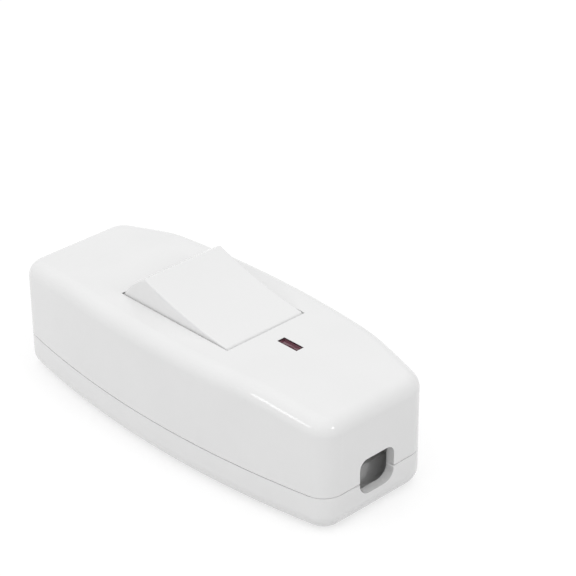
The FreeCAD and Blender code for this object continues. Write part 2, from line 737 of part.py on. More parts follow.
for pole, y_sign in POLES:
    pole_y = f"{y_sign} * pole_offset"
    blade = new_body(f"{pole}_blade_body")
    blade_side = new_sketch(blade, f"{pole}_blade_side", "XZ_Plane")
    half_depth = "(blade_thickness / (2 * cos(blade_rise)))"
    tip_x = "(blade_length * cos(blade_rise))"
    tip_z = "(blade_length * sin(blade_rise))"
    trace(blade_side, [
        (f"-{tip_x}", f"{tip_z} + {half_depth}"),
        ("0", half_depth),
        (tip_x, f"{tip_z} + {half_depth}"),
        (tip_x, f"{tip_z} - {half_depth}"),
        ("0", f"-{half_depth}"),
        (f"-{tip_x}", f"{tip_z} - {half_depth}"),
    ])
    extrude(blade, "Pad", blade_side, "blade_width", both=True)
    neck = new_sketch(blade, f"{pole}_neck", "XY_Plane")
    for sign in ("", "-"):
        trace(neck, [
            ("-neck_length", f"{sign}neck_width / 2"),
            ("neck_length", f"{sign}neck_width / 2"),
            ("neck_length", f"{sign}blade_width"),
            ("-neck_length", f"{sign}blade_width"),
        ])
    extrude(blade, "Pocket", neck, "2 * blade_length", both=True)
    axle = new_sketch(blade, f"{pole}_axle", "XZ_Plane")
    draw_circle(axle, "0", "0", "axle_radius")
    extrude(blade, "Pad", axle, "strip_width", both=True)
    place(blade, "pivot_x", pole_y, "blade_pivot_z", "-blade_tilt")
    contact_x = f"pivot_x + contact_reach * cos{ARM_ANGLE}"
    contact_z = f"blade_pivot_z + contact_reach * sin{ARM_ANGLE}"
    rivet_hole = doc.addObject("Part::Cylinder", f"{pole}_blade_hole")
    hole_half = "(blade_thickness / 2 + hole_spare)"
    bind(rivet_hole, Radius="contact_shank", Height=f"2 * {hole_half}")
    place(rivet_hole, f"{contact_x} + {hole_half} * sin{ARM_ANGLE}", pole_y,
          f"{contact_z} - {hole_half} * cos{ARM_ANGLE}", f"-{ARM_ANGLE}")
    sub_part(f"{pole}_contact_blade", cut(f"{pole}_blade", blade, [rivet_hole]))
    rivet = revolve(f"{pole}_rivet", [
        ("0", "-blade_thickness / 2 - contact_height"),
        ("contact_radius", "-blade_thickness / 2 - contact_height"),
        ("contact_radius", "-blade_thickness / 2"),
        ("contact_shank", "-blade_thickness / 2"),
        ("contact_shank", "blade_thickness / 2"),
        ("contact_tail", "blade_thickness / 2"),
        ("contact_tail", "blade_thickness / 2 + tail_height"),
        ("0", "blade_thickness / 2 + tail_height"),
    ])
    place(rivet, contact_x, pole_y, contact_z, f"-{ARM_ANGLE}")
    sub_part(f"{pole}_moving_contact", rivet)

# Line terminals: a strip whose two ears carry the blade, and a raised rest for the blade's idle arm

rest_x = "pivot_x - contact_reach"
rest_top = f"blade_pivot_z + contact_reach * sin{SHUT_ANGLE} - blade_thickness / 2 - contact_gap"
for pole, y_sign in POLES:
    pole_y = f"{y_sign} * pole_offset"
    pieces = [span(f"{pole}_line_base", ends_of_line, pole_y, "strip_width", "strip_bottom", STRIP_TOP)]
    pieces.append(post(f"{pole}_line_rest", "contact_radius", rest_x, pole_y, "strip_bottom", rest_top))
    for side_name, ear_sign in (("inner", -1), ("outer", 1)):
        ear_y = f"{pole_y} + {ear_sign} * (strip_width - ear_thickness) / 2"
        pieces.append(block(f"{pole}_{side_name}_ear", "pivot_x", ear_y, "2 * ear_half_length",
                            "ear_thickness", "strip_bottom", "blade_pivot_z + ear_height"))
    across_ears = "strip_width + 2 * hole_spare"
    notch = lying_rod(f"{pole}_axle_notch", "axle_radius + axle_gap", "Y", "pivot_x", pole_y,
                      "blade_pivot_z", across_ears)
    notch_way = block(f"{pole}_axle_way", "pivot_x", pole_y, "2 * (axle_radius + axle_gap)", across_ears,
                      "blade_pivot_z", "blade_pivot_z + ear_height + hole_spare")
    line_blank = join(f"{pole}_line_blank", pieces)
    sub_part(f"{pole}_line_terminal", cut(f"{pole}_line", line_blank, [notch, notch_way]))

# Load terminals: a strip with a fixed contact under the blade's working arm

contact_depth = "(blade_thickness / 2 + contact_height)"
fixed_x = f"pivot_x + contact_reach * cos{SHUT_ANGLE} + {contact_depth} * sin{SHUT_ANGLE}"
shut_height = f"(blade_pivot_z + contact_reach * sin{SHUT_ANGLE})"
fixed_top = f"{shut_height} - {contact_depth} * cos{SHUT_ANGLE} - contact_gap"
for pole, y_sign in POLES:
    pole_y = f"{y_sign} * pole_offset"
    load_base = span(f"{pole}_load_base", ends_of_load, pole_y, "strip_width", "strip_bottom", STRIP_TOP)
    fixed_hole = post(f"{pole}_fixed_hole", "contact_shank", fixed_x, pole_y, "strip_bottom - hole_spare",
                      f"{STRIP_TOP} + hole_spare")
    sub_part(f"{pole}_load_terminal", cut(f"{pole}_load", load_base, [fixed_hole]))
    fixed_contact = revolve(f"{pole}_fixed_rivet", [
        ("0", "strip_bottom"),
        ("contact_shank", "strip_bottom"),
        ("contact_shank", STRIP_TOP),
        ("contact_radius", STRIP_TOP),
        ("contact_radius", fixed_top),
        ("0", fixed_top),
    ])
    place(fixed_contact, fixed_x, pole_y, "0")
    sub_part(f"{pole}_fixed_contact", fixed_contact)

# Earth strip: passes straight through between the poles

sub_part("earth_strip", span("earth_base", earth_ends, "0", "strip_width", "strip_bottom", STRIP_TOP))

# Terminal blocks with their screws


def slotted_screw(name, x, y, seat, length, radius, head, head_height):
    """A screw with its head's underside at seat, its shank going down, and a straight slot."""
    body = revolve(name + "_turned_body", [
        ("0", f"-({length})"),
        (radius, f"-({length})"),
        (radius, "0"),
        (head, "0"),
        (head, head_height),
        ("0", head_height),
    ])
    place(body, x, y, seat)
    slot = block(name + "_slot", x, y, f"2 * ({head} + hole_spare)", "slot_width",
                 f"({seat}) + ({head_height}) - slot_depth", f"({seat}) + ({head_height}) + hole_spare")
    return cut(name + "_cut", body, [slot])


lines = [(pole, f"{y_sign} * pole_offset", "terminal_width") for pole, y_sign in POLES]
lines.append(("earth", "0", "earth_width"))
for end, x_sign in ENDS:
    for line, line_y, line_width in lines:
        block_x = f"{x_sign} * {TERMINAL_X}"
        blank = block(f"{end}_{line}_blank", block_x, line_y, "terminal_length", line_width, STRIP_TOP,
                      TERMINAL_TOP)
        wire_hole = lying_rod(f"{end}_{line}_wire_bore", "wire_bore", "X", block_x, line_y, WIRE_AXIS,
                              "terminal_length + 2 * hole_spare")
        screw_hole = post(f"{end}_{line}_screw_bore", "terminal_screw + screw_gap", block_x, line_y,
                          WIRE_AXIS, f"{TERMINAL_TOP} + hole_spare")
        sub_part(f"{end}_{line}_terminal_block", cut(f"{end}_{line}_block", blank, [wire_hole, screw_hole]))
        shank = "(terminal_height - wire_height - wire_bore + screw_lift)"
        sub_part(f"{end}_{line}_terminal_screw", slotted_screw(
            f"{end}_{line}_screw", block_x, line_y, f"{TERMINAL_TOP} + screw_lift", shank,
            "terminal_screw", "terminal_head", "terminal_head_height"))

# Pilot lamp: a lens in the top, a glass tube beneath it, a resistor and three leads

lens_plug = block("lens_plug", WINDOW_X, "0", "window_length - 2 * lens_gap", "window_width - 2 * lens_gap",
                  f"{CEILING} - flange_height / 2", "case_height - lens_sink")
lens_flange = block("lens_flange", WINDOW_X, "0", "flange_length", "flange_width - 2 * lens_gap",
                    f"{CEILING} - flange_height", CEILING)
lens_hollow = block("lens_hollow", WINDOW_X, "0", "window_length - 2 * (lens_gap + lens_rim)",
                    "window_width - 2 * (lens_gap + lens_rim)", "case_height - lens_sink - lens_dish",
                    "case_height + hole_spare")
sub_part("indicator_lens", cut("lens", join("lens_blank", [lens_plug, lens_flange]), [lens_hollow]))

lamp_half = "(lamp_length / 2)"
lamp = revolve("lamp_body", [
    ("0", f"-{lamp_half}"),
    ("lamp_radius", f"-{lamp_half} + lamp_radius"),
    ("lamp_radius", f"{lamp_half} - lamp_radius"),
    ("0", lamp_half),
], {0: ("lamp_radius", 1), 2: ("lamp_radius", 1)})
tip(lamp, (1, 0, 0), 90)
place(lamp, WINDOW_X, "0", LAMP_AXIS)
sub_part("neon_lamp", lamp)

lead_y = "(pole_offset + terminal_width / 2 + lead_stand_off)"
block_face = "(pole_offset + terminal_width / 2)"


def lead(name, corners, arcs, start_up):
    """A thin wire along a path in the plane across the case at the lamp."""
    body = new_body(name + "_body")
    path = new_sketch(body, name + "_path", "YZ_Plane", WINDOW_X)
    trace(path, corners, arcs, closed=False)
    across, up = corners[0]
    if start_up:
        section = new_sketch(body, name + "_section", "XY_Plane", up)
        draw_circle(section, WINDOW_X, across, "lead_radius")
    else:
        section = new_sketch(body, name + "_section", "XZ_Plane", f"-({across})")
        draw_circle(section, WINDOW_X, up, "lead_radius")
    pipe = body.newObject("PartDesign::AdditivePipe", name + "_pipe")
    pipe.Profile = section
    pipe.Spine = path
    return sub_part(name, body)


def down_from_lamp(sign, bottom):
    side = 1 if sign < 0 else -1
    corners = [
        (f"{sign} * {lamp_half}", LAMP_AXIS),
        (f"{sign} * ({lead_y} - lead_bend)", LAMP_AXIS),
        (f"{sign} * {lead_y}", f"{LAMP_AXIS} - lead_bend"),
        (f"{sign} * {lead_y}", bottom),
    ]
    return corners, {1: ("lead_bend", side)}


def into_block(sign, first_edge):
    side = -1 if sign > 0 else 1
    corners = [
        (f"{sign} * ({lead_y} - lead_stand_off / 2)", LEAD_HEIGHT),
        (f"{sign} * {block_face}", LEAD_HEIGHT),
    ]
    return corners, {first_edge: ("lead_stand_off / 2", side)}


turn_top = f"({LEAD_HEIGHT} + lead_stand_off / 2)"
resistor_middle = f"(({LAMP_AXIS} - lead_bend + {turn_top}) / 2)"
resistor_top = f"({resistor_middle} + resistor_length / 2)"
resistor_bottom = f"({resistor_middle} - resistor_length / 2)"
neutral_top, neutral_arcs = down_from_lamp(-1, turn_top)
neutral_end, neutral_end_arcs = into_block(-1, 3)
lead("neutral_lamp_lead", neutral_top + neutral_end, {**neutral_arcs, **neutral_end_arcs}, False)
live_top, live_arcs = down_from_lamp(1, resistor_top)
lead("live_lamp_lead", live_top, live_arcs, False)
live_end, live_end_arcs = into_block(1, 1)
lead("resistor_lead", [(lead_y, resistor_bottom), (lead_y, turn_top)] + live_end, live_end_arcs, True)
resistor = revolve("resistor_body", [
    ("0", "0"),
    ("resistor_radius - resistor_round", "0"),
    ("resistor_radius", "resistor_round"),
    ("resistor_radius", "resistor_length - resistor_round"),
    ("resistor_radius - resistor_round", "resistor_length"),
    ("0", "resistor_length"),
], {1: ("resistor_round", 1), 3: ("resistor_round", 1)})
place(resistor, WINDOW_X, lead_y, resistor_bottom)
sub_part("lamp_resistor", resistor)

# Cord clamps: an arched bar over the cord at each end, held by two screws


def cross_screw(name, x, y, seat, length, head_up=True):
    """A pan-head screw with a cross recess; its shank points away from its head."""
    body = revolve(name + "_turned_body", [
        ("0", f"-({length})"),
        ("screw_tip", f"-({length})"),
        ("screw_radius", f"-({length}) + screw_radius"),
        ("screw_radius", "0"),
        ("head_radius", "0"),
        ("head_radius", "head_height / 2"),
        ("head_radius - head_height / 2", "head_height"),
        ("0", "head_height"),
    ], {5: ("head_height / 2", 1)})
    if head_up:
        low, high = f"({seat}) + head_height - slot_depth", f"({seat}) + head_height + hole_spare"
    else:
        tip(body, (1, 0, 0), 180)
        low, high = f"({seat}) - head_height - hole_spare", f"({seat}) - head_height + slot_depth"
    place(body, x, y, seat)
    bars = [
        block(name + "_recess_x", x, y, "recess_length", "slot_width", low, high),
        block(name + "_recess_y", x, y, "slot_width", "recess_length", low, high),
    ]
    return cut(name + "_cut", body, bars)


for end, x_sign in ENDS:
    bar = new_body(f"{end}_bar")
    bar_side = new_sketch(bar, f"{end}_bar_side", "YZ_Plane", f"{x_sign} * {CLAMP_X}")
    half_bar = "(clamp_width / 2)"
    half_arch = "(clamp_arch / 2)"
    arch_foot = "(clamp_arch / 2 + clamp_thickness / 2)"
    bar_top = "(clamp_post_top + clamp_thickness)"
    trace(bar_side, [
        (f"-{half_bar}", "clamp_post_top"),
        (f"-{arch_foot}", "clamp_post_top"),
        (f"-{half_arch}", "clamp_arch_top"),
        (half_arch, "clamp_arch_top"),
        (arch_foot, "clamp_post_top"),
        (half_bar, "clamp_post_top"),
        (half_bar, bar_top),
        (f"{arch_foot} - fit_gap", bar_top),
        (half_arch, "clamp_arch_top + clamp_thickness"),
        (f"-{half_arch}", "clamp_arch_top + clamp_thickness"),
        (f"-{arch_foot} + fit_gap", bar_top),
        (f"-{half_bar}", bar_top),
    ])
    extrude(bar, "Pad", bar_side, "clamp_length", both=True)
    bar_holes = []
    for pole, y_sign in POLES:
        bar_holes.append(post(f"{end}_{pole}_bar_hole", BORE_RADIUS, f"{x_sign} * {CLAMP_X}",
                              f"{y_sign} * clamp_post_y", "clamp_post_top - hole_spare",
                              f"{bar_top} + hole_spare"))
    sub_part(f"{end}_cord_clamp", cut(f"{end}_clamp_cut", bar, bar_holes))
    for pole, y_sign in POLES:
        sub_part(f"{end}_{pole}_clamp_screw", cross_screw(
            f"{end}_{pole}_clamp_screw_body", f"{x_sign} * {CLAMP_X}", f"{y_sign} * clamp_post_y", bar_top,
            "clamp_screw_length"))
        sub_part(f"{end}_{pole}_case_screw", cross_screw(
            f"{end}_{pole}_case_screw_body", f"{x_sign} * {CASE_SCREW_X}", f"{y_sign} * case_screw_y",
            "counterbore_depth", "case_screw_length", head_up=False))

doc.recompute()
for thing in doc.Objects:
    if "Invalid" in thing.State or "Error" in thing.State:
        raise RuntimeError(f"{thing.Name} failed: {thing.State}")
for thing in sub_parts:
    if thing.Shape.isNull() or not thing.Shape.isValid():
        raise RuntimeError(f"{thing.Label} has no valid shape")

os.makedirs("parts", exist_ok=True)
for thing in sub_parts:
    thing.Shape.exportStep(f"parts/{thing.Label}.step")
    print(f"{thing.Label:32s} {len(thing.Shape.Solids)} solid(s) {thing.Shape.Volume:10.2f} mm3")
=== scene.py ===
import json
import math

import bmesh
import bpy
from mathutils import Euler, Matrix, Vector

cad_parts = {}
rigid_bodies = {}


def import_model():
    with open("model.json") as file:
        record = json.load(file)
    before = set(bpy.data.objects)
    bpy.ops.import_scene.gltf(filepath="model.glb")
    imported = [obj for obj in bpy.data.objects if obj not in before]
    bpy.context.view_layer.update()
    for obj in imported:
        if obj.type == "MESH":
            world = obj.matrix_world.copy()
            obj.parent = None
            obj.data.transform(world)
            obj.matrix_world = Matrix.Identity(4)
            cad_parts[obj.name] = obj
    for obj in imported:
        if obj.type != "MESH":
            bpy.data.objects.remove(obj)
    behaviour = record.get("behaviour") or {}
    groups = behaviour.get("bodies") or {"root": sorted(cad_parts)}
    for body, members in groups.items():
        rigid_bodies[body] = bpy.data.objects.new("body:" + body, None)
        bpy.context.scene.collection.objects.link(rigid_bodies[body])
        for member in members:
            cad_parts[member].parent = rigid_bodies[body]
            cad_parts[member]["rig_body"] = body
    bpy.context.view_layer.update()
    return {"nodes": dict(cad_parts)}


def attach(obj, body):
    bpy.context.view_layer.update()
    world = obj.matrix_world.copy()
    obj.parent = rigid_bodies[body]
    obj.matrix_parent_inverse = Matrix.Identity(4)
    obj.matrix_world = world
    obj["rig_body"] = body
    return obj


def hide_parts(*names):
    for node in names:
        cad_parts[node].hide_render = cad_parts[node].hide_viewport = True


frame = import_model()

# Inline cord switch: the finish of every piece, the rocker's own shape, the light, the floor and the camera.
# Metres. X runs along the cord, Y across it, Z up from the face that the switch lies on.

MM = 0.001
WHITE = (1, 1, 1, 1)


# Small helpers

def linear(code):
    """An sRGB hex colour as the linear colour that a shader takes."""
    colour = []
    for place in (0, 2, 4):
        part = int(code[place:place + 2], 16) / 255
        colour.append(part / 12.92 if part <= 0.04045 else ((part + 0.055) / 1.055) ** 2.4)
    return tuple(colour) + (1.0,)


def add_node(tree, kind, settings=None, links=None):
    """Adds a node. Settings name its sockets or its own options, links name the sockets that others feed."""
    node = tree.nodes.new(kind)
    for name, value in (settings or {}).items():
        if isinstance(name, int) or name in node.inputs:
            node.inputs[name].default_value = value
        else:
            setattr(node, name, value)
    for name, source in (links or {}).items():
        tree.links.new(source, node.inputs[name])
    return node


def reckon(tree, operation, *values):
    """One sum in a shader. Each value is a number, or the socket that gives it."""
    numbers = {place: value for place, value in enumerate(values) if isinstance(value, (int, float))}
    sockets = {place: value for place, value in enumerate(values) if place not in numbers}
    return add_node(tree, "ShaderNodeMath", {"operation": operation, **numbers}, sockets).outputs[0]


def map_range(tree, value, first, last, low=0.0, high=1.0):
    """A value that goes from first to last, drawn out between low and high."""
    settings = {"From Min": first, "From Max": last, "To Min": low, "To Max": high}
    return add_node(tree, "ShaderNodeMapRange", settings, {"Value": value}).outputs["Result"]


def per_metre(size_mm):
    """How often a pattern of that size in millimetres repeats along a metre."""
    return 1 / (size_mm * MM)


def start_material(name, **settings):
    """A material with one Principled shader, and the Object coordinates that its patterns follow."""
    material = bpy.data.materials.new(name)
    material.use_nodes = True
    tree = material.node_tree
    tree.nodes.clear()
    shader = add_node(tree, "ShaderNodeBsdfPrincipled", settings)
    add_node(tree, "ShaderNodeOutputMaterial", links={"Surface": shader.outputs[0]})
    place = add_node(tree, "ShaderNodeTexCoord").outputs["Object"]
    return material, tree, shader, place


def noise(tree, place, size_mm, detail=2.0):
    """Soft cloudy noise whose features are about that many millimetres across."""
    settings = {"Scale": per_metre(size_mm), "Detail": detail}
    return add_node(tree, "ShaderNodeTexNoise", settings, {"Vector": place}).outputs["Fac"]


def spread(tree, pattern, low, high):
    """A pattern's middle range, drawn out between two values."""
    return map_range(tree, pattern, 0.3, 0.7, low, high)


def blend(tree, pattern, first, second):
    """A colour between two hex colours, by a pattern."""
    settings = {"data_type": "RGBA", 6: linear(first), 7: linear(second)}
    return add_node(tree, "ShaderNodeMix", settings, {0: pattern}).outputs[2]


def colour_by(tree, shader, pattern, first, second):
    """Gives a material a colour that drifts between two hex colours with a pattern."""
    tree.links.new(blend(tree, spread(tree, pattern, 0, 1), first, second), shader.inputs["Base Color"])


def roughen_by(tree, shader, pattern, low, high):
    """Gives a material a roughness that drifts between two values with a pattern."""
    tree.links.new(spread(tree, pattern, low, high), shader.inputs["Roughness"])


def raise_surface(tree, shader, layers):
    """Bump from a list of (pattern, height in millimetres), the broadest first."""
    normal = None
    for pattern, height_mm in layers:
        links = {"Height": pattern}
        if normal:
            links["Normal"] = normal
        normal = add_node(tree, "ShaderNodeBump", {"Distance": height_mm * MM}, links).outputs["Normal"]
    tree.links.new(normal, shader.inputs["Normal"])


# Materials

# The lens, in millimetres: on each axis in plan the place of its middle and half its length, and the height
# from which its rim is measured downwards
LENS_PLAN = {"X": (22.05, 2.7), "Y": (0.0, 0.95)}
LENS_TOP = 27.5
# Its rim of painted shade: how wide it is and where it has faded out inwards, how far down it goes and over
# what it fades
RIM_WIDTH = 0.14
RIM_FADED = 1.5 * RIM_WIDTH
RIM_DEPTH = 0.17
RIM_FADE_BELOW = 0.06
# How strongly the lens mirrors at its rim, where the mirroring is turned down along with the painted shade,
# and on its face
SHADED_RIM_SHINE = 0.12
FACE_SHINE = 0.5
# The drawn lines of rolled metal run long in X
LINE_STRETCH = (0.06, 1.0, 1.0)
# How much rougher than at its smoothest each metal gets
ROLLED_DULLING = 0.14
PLATED_DULLING = 0.12


# The grain of the plastics and the lines of the rolled metal are finer on the real thing, and are drawn this
# coarse so that they can show

def polished_abs(name, main, cool):
    """ABS, injection moulded in a polished tool. The eye sees a white, glossy skin, with a faint long ripple
    where it shrank."""
    material, tree, shader, place = start_material(name, IOR=1.53)
    clouds = noise(tree, place, size_mm=14)
    ripple = noise(tree, place, size_mm=5)
    grain = noise(tree, place, size_mm=0.6)
    colour_by(tree, shader, clouds, main, cool)
    roughen_by(tree, shader, ripple, 0.11, 0.15)
    raise_surface(tree, shader, [(ripple, 0.006), (grain, 0.0004)])
    return material


def depth_inside(tree, place, axis, middle_mm, half_mm):
    """How far a point lies inside a strip of that half width, in metres."""
    along = add_node(tree, "ShaderNodeSeparateXYZ", links={0: place}).outputs[axis]
    away = reckon(tree, "ABSOLUTE", reckon(tree, "SUBTRACT", along, middle_mm * MM))
    return reckon(tree, "SUBTRACT", half_mm * MM, away)


def tinted_polycarbonate():
    """Polycarbonate, clear and tinted dark red: glossy, and almost black where nothing shines behind it.
    Its upright rim and the top of its wall are painted near black as painted shade, standing for the unlit
    case that the eye would see through them along the wall."""
    material, tree, shader, place = start_material("tinted_polycarbonate", IOR=1.58)
    clouds = noise(tree, place, size_mm=1.5)
    depths = [depth_inside(tree, place, axis, *strip) for axis, strip in LENS_PLAN.items()]
    # Painted shade: a mask that is 0 on the rim and the top of the wall, and 1 on the face
    off_shaded_rim = map_range(tree, reckon(tree, "MINIMUM", *depths), RIM_WIDTH * MM, RIM_FADED * MM)
    near_top = depth_inside(tree, place, "Z", LENS_TOP, RIM_DEPTH)
    below_shaded_rim = map_range(tree, near_top, 0.0, -RIM_FADE_BELOW * MM)
    inside = reckon(tree, "MAXIMUM", off_shaded_rim, below_shaded_rim)
    face = blend(tree, spread(tree, clouds, 0, 1), "663A46", "6E434F")
    # Painted shade: the masked rim takes the near-black 2C121B in place of the face colour
    colour = add_node(tree, "ShaderNodeMix", {"data_type": "RGBA", 6: linear("2C121B")}, {0: inside, 7: face})
    tree.links.new(colour.outputs[2], shader.inputs["Base Color"])
    shine = map_range(tree, inside, 0.0, 1.0, SHADED_RIM_SHINE, FACE_SHINE)
    tree.links.new(shine, shader.inputs["Specular IOR Level"])
    roughen_by(tree, shader, clouds, 0.08, 0.14)
    raise_surface(tree, shader, [(clouds, 0.001)])
    return material


def moulded_nylon(name, main, other):
    """Nylon, injection moulded and undyed. The eye sees it milky, waxy and softly mottled."""
    material, tree, shader, place = start_material(name, IOR=1.53)
    mottle = noise(tree, place, size_mm=2.5)
    grain = noise(tree, place, size_mm=0.25)
    colour_by(tree, shader, mottle, main, other)
    roughen_by(tree, shader, mottle, 0.38, 0.5)
    raise_surface(tree, shader, [(grain, 0.004)])
    return material


def rolled_metal(name, main, other, rough):
    """Metal, rolled and stamped. The eye sees fine lines along the strip, a little dulled in patches."""
    material, tree, shader, place = start_material(name, Metallic=1.0)
    along = add_node(tree, "ShaderNodeMapping", {"Scale": LINE_STRETCH}, {"Vector": place}).outputs["Vector"]
    lines = noise(tree, along, size_mm=0.12, detail=3.0)
    patches = noise(tree, place, size_mm=3)
    colour_by(tree, shader, patches, main, other)
    roughen_by(tree, shader, lines, rough, rough + ROLLED_DULLING)
    raise_surface(tree, shader, [(lines, 0.003)])
    return material


def plated_metal(name, main, other, rough):
    """Metal, drawn or turned. The eye sees it bright and grey, with the faint cloud of a thin coat."""
    material, tree, shader, place = start_material(name, Metallic=1.0)
    cloud = noise(tree, place, size_mm=0.8, detail=4.0)
    colour_by(tree, shader, cloud, main, other)
    roughen_by(tree, shader, cloud, rough, rough + PLATED_DULLING)
    raise_surface(tree, shader, [(cloud, 0.003)])
    return material


def lamp_glass():
    """Soda-lime glass, drawn as a tube. The eye sees it clear, faintly warm, with a slow drawing ripple."""
    material, tree, shader, place = start_material("drawn_lamp_glass", IOR=1.5)
    shader.inputs["Transmission Weight"].default_value = 0.85
    ripple = noise(tree, place, size_mm=1.8)
    colour_by(tree, shader, ripple, "F4EFE6", "E9E4DA")
    roughen_by(tree, shader, ripple, 0.02, 0.06)
    raise_surface(tree, shader, [(ripple, 0.004)])
    return material


def lacquered_ceramic():
    """A ceramic rod, dipped in tan lacquer. The eye sees it smooth, half glossy and slightly uneven."""
    material, tree, shader, place = start_material("lacquered_ceramic", IOR=1.5)
    cloud = noise(tree, place, size_mm=0.9)
    colour_by(tree, shader, cloud, "C9B08A", "BDA27A")
    roughen_by(tree, shader, cloud, 0.25, 0.36)
    raise_surface(tree, shader, [(cloud, 0.01)])
    return material


finishes = {
    "case_plastic": polished_abs("case_abs", "EFEFEF", "EDEDED"),
    "rocker_plastic": polished_abs("rocker_abs", "EFEFEF", "EEEEEE"),
    "red_lens": tinted_polycarbonate(),
    "lamp_glass": lamp_glass(),
    "resistor_body": lacquered_ceramic(),
    "tinned_wire": plated_metal("tinned_copper_wire", "C6C6C4", "B4B4B2", 0.28),
    "plunger_nylon": moulded_nylon("plunger_nylon", "E6E1D3", "DDD7C6"),
    "spring_steel": plated_metal("drawn_spring_wire", "A4A4A6", "8F8F92", 0.24),
    "copper_alloy": rolled_metal("stamped_bronze", "CE9A6B", "BD8757", 0.26),
    "silver_contact": plated_metal("silver_contact", "DEDDD9", "D0CEC8", 0.16),
    "brass": rolled_metal("machined_brass", "CDAE6A", "BE9C58", 0.24),
    "plated_steel": plated_metal("zinc_plated_steel", "BFC2C4", "ABAFB3", 0.26),
    "clamp_plastic": moulded_nylon("clamp_nylon", "D6D6D3", "CACAC6"),
}


# Which finish each piece has

def slot_of(node):
    """The material slot of a piece, by what the piece is."""
    for ending, slot in (
        ("housing", "case_plastic"),
        ("rocker", "rocker_plastic"),
        ("lens", "red_lens"),
        ("neon_lamp", "lamp_glass"),
        ("resistor", "resistor_body"),
        ("lead", "tinned_wire"),
        ("plunger", "plunger_nylon"),
        ("spring", "spring_steel"),
        ("blade", "copper_alloy"),
        ("contact", "silver_contact"),
        ("screw", "plated_steel"),
        ("clamp", "clamp_plastic"),
        ("strip", "brass"),
        ("terminal", "brass"),
        ("block", "brass"),
    ):
        if node.endswith(ending):
            return slot
    raise ValueError(node)


for name, node in frame["nodes"].items():
    node.data.materials.clear()
    node.data.materials.append(finishes[slot_of(name)])


# Shells with a smooth skin

# Corners sharper than this many degrees stay sharp
SHELL_CREASE = 28.0
KEY_CREASE = 30


def only(thing):
    """Selects one object and nothing else."""
    bpy.ops.object.select_all(action="DESELECT")
    thing.select_set(True)
    bpy.context.view_layer.objects.active = thing


def smooth(piece, crease):
    """Smooth shading up to an angle, with the flat faces kept flat."""
    only(piece)
    bpy.ops.object.shade_smooth_by_angle(angle=math.radians(crease))
    flat = piece.modifiers.new("even_normals", "WEIGHTED_NORMAL")
    flat.mode = "FACE_AREA"
    flat.keep_sharp = True
    bpy.ops.object.modifier_apply(modifier=flat.name)


def smooth_skin(node, name):
    """A copy of a piece with its triangles joined, so that its rounds catch light as one surface."""
    source = frame["nodes"][node]
    skin = bpy.data.objects.new(name, source.data.copy())
    bpy.context.scene.collection.objects.link(skin)
    mesh = bmesh.new()
    mesh.from_mesh(skin.data)
    bmesh.ops.remove_doubles(mesh, verts=mesh.verts, dist=0.0005 * MM)
    mesh.to_mesh(skin.data)
    mesh.free()
    smooth(skin, SHELL_CREASE)
    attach(skin, source["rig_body"])
    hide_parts(node)


for node in ("upper_housing", "lower_housing", "indicator_lens"):
    smooth_skin(node, node + "_skin")


# Modelling by hand: each step works on what the step before left selected

def pick_edges(chosen):
    """Selects the edges of the open piece for which chosen is true."""
    mesh = bmesh.from_edit_mesh(bpy.context.object.data)
    for edge in mesh.edges:
        edge.select_set(bool(chosen(edge)))
    mesh.select_flush_mode()
    bmesh.update_edit_mesh(bpy.context.object.data)


def first_point(name, x, z):
    """A new piece of one selected vertex, open for editing, from which an outline is drawn."""
    bpy.ops.object.select_all(action="DESELECT")
    bpy.ops.mesh.primitive_plane_add(size=2 * MM, location=(0, 0, 0))
    bpy.context.object.name = name
    bpy.ops.object.mode_set(mode="EDIT")
    bpy.ops.mesh.select_mode(type="VERT")
    bpy.ops.mesh.select_all(action="SELECT")
    bpy.ops.mesh.merge(type="CENTER")
    bpy.ops.transform.translate(value=(x * MM, 0, z * MM))
    return bpy.context.object


def arc(centre_x, centre_z, degrees, steps):
    """Goes on with an outline in the XZ plane, round a centre; more than 0 turns from Z towards X."""
    spot = (centre_x * MM, 0, centre_z * MM)
    bpy.ops.mesh.spin(steps=steps, angle=math.radians(degrees), center=spot, axis=(0, -1, 0))


def run(x, z):
    """Goes on with an outline in a straight line, by a step in X and a step in Z."""
    bpy.ops.mesh.extrude_vertices_move(TRANSFORM_OT_translate={"value": (x * MM, 0, z * MM)})


def fill_and_pull(width):
    """Closes an outline in the XZ plane, and pulls it out to both sides of it by half the width."""
    bpy.ops.mesh.select_all(action="SELECT")
    bpy.ops.mesh.remove_doubles(threshold=SAME_POINT * MM)
    bpy.ops.mesh.edge_face_add()
    bpy.ops.transform.translate(value=(0, -width / 2 * MM, 0))
    bpy.ops.mesh.extrude_region_move(TRANSFORM_OT_translate={"value": (0, width * MM, 0)})
    bpy.ops.mesh.select_all(action="SELECT")
    bpy.ops.mesh.normals_make_consistent(inside=False)


def rod(name, radius, start, end, vertices=64):
    """A round bar between two points on one axis, in millimetres."""
    start = Vector(start)
    end = Vector(end)
    axis = end - start
    turn = axis.to_track_quat("Z", "Y").to_euler()
    bpy.ops.object.select_all(action="DESELECT")
    bpy.ops.mesh.primitive_cylinder_add(vertices=vertices, radius=radius * MM, depth=axis.length * MM,
                                        location=(start + end) / 2 * MM, rotation=turn)
    bpy.context.object.name = name
    return bpy.context.object


def combine(piece, operation, tool):
    """Joins a second shape to a piece, or cuts it out, and removes the second shape."""
    only(piece)
    modifier = piece.modifiers.new(operation.lower(), "BOOLEAN")
    modifier.operation = operation
    modifier.solver = "EXACT"
    modifier.object = tool
    bpy.ops.object.modifier_apply(modifier=modifier.name)
    bpy.data.objects.remove(tool)


def finish_piece(piece, node):
    """Fixes a modelled piece in its place, and lets it stand for the node of that name."""
    only(piece)
    bpy.ops.object.transform_apply(location=True, rotation=True, scale=True)
    piece.data.materials.clear()
    piece.data.materials.append(finishes[slot_of(node)])
    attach(piece, frame["nodes"][node]["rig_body"])
    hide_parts(node)


# Rocker: the dished key, its round ends and their soft rims, with the sleeves and trunnions beneath

